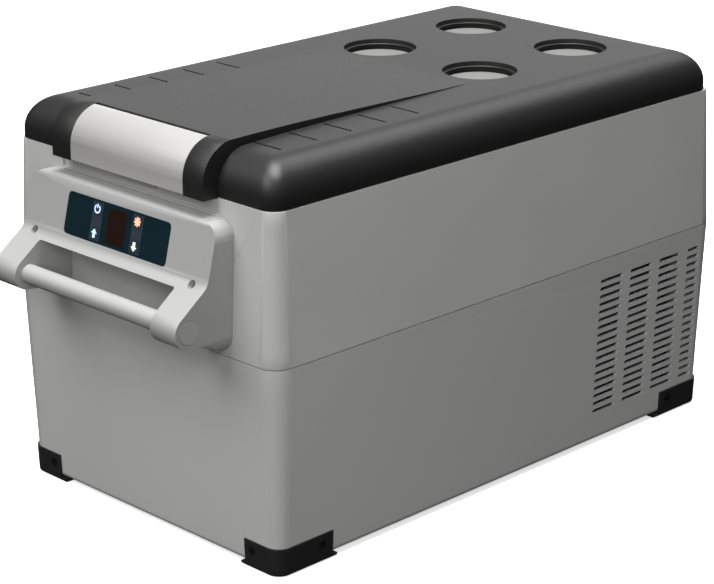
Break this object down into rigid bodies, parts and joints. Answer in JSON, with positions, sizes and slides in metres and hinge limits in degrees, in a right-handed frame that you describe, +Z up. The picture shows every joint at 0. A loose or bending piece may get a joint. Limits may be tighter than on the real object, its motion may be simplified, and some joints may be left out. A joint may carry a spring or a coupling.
{
  "type": "compressor cooler fridge",
  "caption": "Portable powered cooler box with a hinged lid, cup recesses, end carry handles, a raked control panel and a rear machine bay.",
  "frame": {"origin": "on the floor, under the middle of the whole object's box", "axes": "+Z up, -Y towards the control panel end, +Y along the length towards the machine bay, +X towards the right-hand long side seen from the panel end"},
  "size_m": [0.32, 0.652, 0.338],
  "materials": {
    "shell_grey": "moulded light grey plastic with a fine grain",
    "handle_grey": "smooth light grey plastic",
    "liner_white": "food-safe white plastic",
    "foam": "polyurethane foam",
    "aluminium": "mill finish",
    "steel": "plated sheet",
    "fastener": "blackened",
    "compressor_black": "black enamel",
    "black_plastic": "black moulded plastic",
    "rubber": "soft black rubber",
    "copper": "copper tube",
    "panel": "dark tinted window",
    "key": "dark keys with lit marks",
    "digits": "dark red display",
    "board": "green circuit board",
    "lid_charcoal": "charcoal moulded plastic, satin",
    "cup_grey": "grey inlay",
    "latch_white": "off-white satin plastic",
    "lens": "frosted lens",
    "probe": "metal sleeve"
  },
  "bodies": {
    "cabinet": {"bay_bulkhead": "steel", "cabin_lamp": "lens", "capillary_tube": "copper", "compressor_bolts": "fastener", "compressor_frame": "steel", "compressor_grommets": "rubber", "compressor_lower": "compressor_black", "compressor_upper": "compressor_black", "condenser_fins": "aluminium", "condenser_tube": "copper", "control_board": "board", "digit_module": "digits", "discharge_line": "copper", "evaporator": "aluminium", "fan_housing": "black_plastic", "filter_drier": "copper", "foot_front_left": "black_plastic", "foot_front_right": "black_plastic", "foot_rear_left": "black_plastic", "foot_rear_right": "black_plastic", "foot_screws": "fastener", "front_grip_sleeve": "handle_grey", "front_handle_frame": "handle_grey", "fuse_cap": "black_plastic", "grip_caps": "handle_grey", "grip_rods": "steel", "handle_screws": "fastener", "hinge_base_left": "black_plastic", "hinge_base_right": "black_plastic", "hinge_pins": "steel", "insulation": "foam", "latch_strike": "steel", "liner": "liner_white", "liquid_line": "copper", "lower_shell": "shell_grey", "machine_base": "steel", "panel_window": "panel", "power_inlet": "black_plastic", "power_module": "aluminium", "rear_grip_sleeve": "handle_grey", "rear_handle_frame": "handle_grey", "suction_line": "copper", "temperature_probe": "probe", "terminal_cover": "black_plastic", "upper_shell": "shell_grey"},
    "lid": {"lid_shell": "lid_charcoal", "cup_discs": "cup_grey", "lid_foam": "foam", "lid_liner": "liner_white", "lid_gasket": "rubber", "hinge_leaves": "black_plastic", "latch_pin": "steel", "latch_spring": "steel"},
    "latch_lever": {"latch_lever": "latch_white", "latch_hook": "shell_grey"},
    "key_power": {"key_power": "key"},
    "key_set": {"key_set": "key"},
    "key_up": {"key_up": "key"},
    "key_down": {"key_down": "key"},
    "fan_rotor": {"fan_rotor": "black_plastic"}
  },
  "joints": [
    {"name": "lid_hinge", "type": "hinge", "parent": "cabinet", "child": "lid", "pos_m": [0, 0.2715, 0.299], "axis": [-1, 0, 0], "range_deg": [0, 100]},
    {"name": "latch_pivot", "type": "hinge", "parent": "lid", "child": "latch_lever", "pos_m": [0, -0.2516, 0.3346], "axis": [-1, 0, 0], "range_deg": [0, 35], "stiffness_Nm_per_rad": 0.08, "springref_deg": -11.46},
    {"name": "fan_spin", "type": "hinge", "parent": "cabinet", "child": "fan_rotor", "pos_m": [0.08, 0.183, 0.089], "axis": [1, 0, 0], "continuous": true},
    {"name": "power_press", "type": "slide", "parent": "cabinet", "child": "key_power", "axis": [0, 0.9713, -0.238], "range_m": [0, 0.0006], "stiffness_N_per_m": 400, "springref_m": -0.0004},
    {"name": "set_press", "type": "slide", "parent": "cabinet", "child": "key_set", "axis": [0, 0.9713, -0.238], "range_m": [0, 0.0006], "stiffness_N_per_m": 400, "springref_m": -0.0004},
    {"name": "up_press", "type": "slide", "parent": "cabinet", "child": "key_up", "axis": [0, 0.9713, -0.238], "range_m": [0, 0.0006], "stiffness_N_per_m": 400, "springref_m": -0.0004},
    {"name": "down_press", "type": "slide", "parent": "cabinet", "child": "key_down", "axis": [0, 0.9713, -0.238], "range_m": [0, 0.0006], "stiffness_N_per_m": 400, "springref_m": -0.0004}
  ]
}
